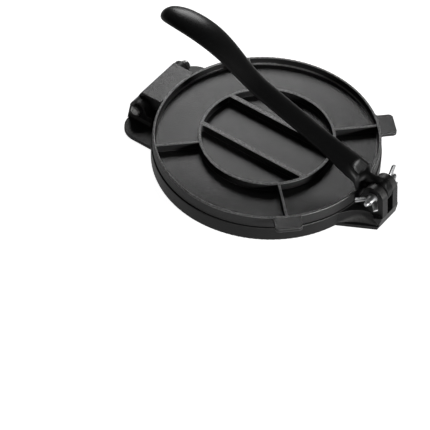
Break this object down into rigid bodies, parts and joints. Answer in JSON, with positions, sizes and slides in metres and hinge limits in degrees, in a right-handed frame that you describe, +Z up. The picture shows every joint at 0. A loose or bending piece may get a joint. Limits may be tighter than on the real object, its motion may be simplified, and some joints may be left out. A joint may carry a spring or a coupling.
{
  "type": "tortilla press",
  "caption": "Cast-iron tortilla press: a ribbed round lid hinged on a round base, closed by a long curved lever that turns on a stud in the base's forked front arm.",
  "frame": {"origin": "centre of the round plates, on the surface that the press stands on", "axes": "+X from the hinge towards the lever's clevis, +Y to the left seen from behind the hinge, +Z up"},
  "size_m": [0.3339, 0.2628, 0.1515],
  "materials": {
    "black_iron": "matte, sand-cast, seasoned black",
    "lever_iron": "satin, sand-cast, smoother than the plates",
    "zinc_steel": "bright zinc plate"
  },
  "bodies": {
    "base_body": {"base": "black_iron", "pivot_stud": "zinc_steel", "right_washer": "zinc_steel", "left_washer": "zinc_steel", "hinge_bolt": "zinc_steel", "hinge_nut": "zinc_steel"},
    "lid_body": {"lid": "black_iron"},
    "lever_body": {"lever": "lever_iron"},
    "right_nut_body": {"right_wing_nut": "zinc_steel"},
    "left_nut_body": {"left_wing_nut": "zinc_steel"}
  },
  "joints": [
    {"name": "lever_turn", "type": "hinge", "parent": "base_body", "child": "lever_body", "pos_m": [0.1538, 0, 0.0415], "axis": [0, 1, 0], "range_deg": [0, 165]},
    {"name": "lid_hinge", "type": "hinge", "parent": "base_body", "child": "lid_body", "pos_m": [-0.1512, 0, 0.0178], "axis": [0, -1, 0], "range_deg": [0, 105]},
    {"name": "right_nut_turn", "type": "hinge", "parent": "base_body", "child": "right_nut_body", "pos_m": [0.1538, -0.02, 0.0415], "axis": [0, -1, 0], "continuous": true},
    {"name": "left_nut_turn", "type": "hinge", "parent": "base_body", "child": "left_nut_body", "pos_m": [0.1538, 0.02, 0.0415], "axis": [0, 1, 0], "continuous": true}
  ],
  "couplings": [
    {"joint": "lid_hinge", "follows": "lever_turn", "ratio": 0.2}
  ]
}
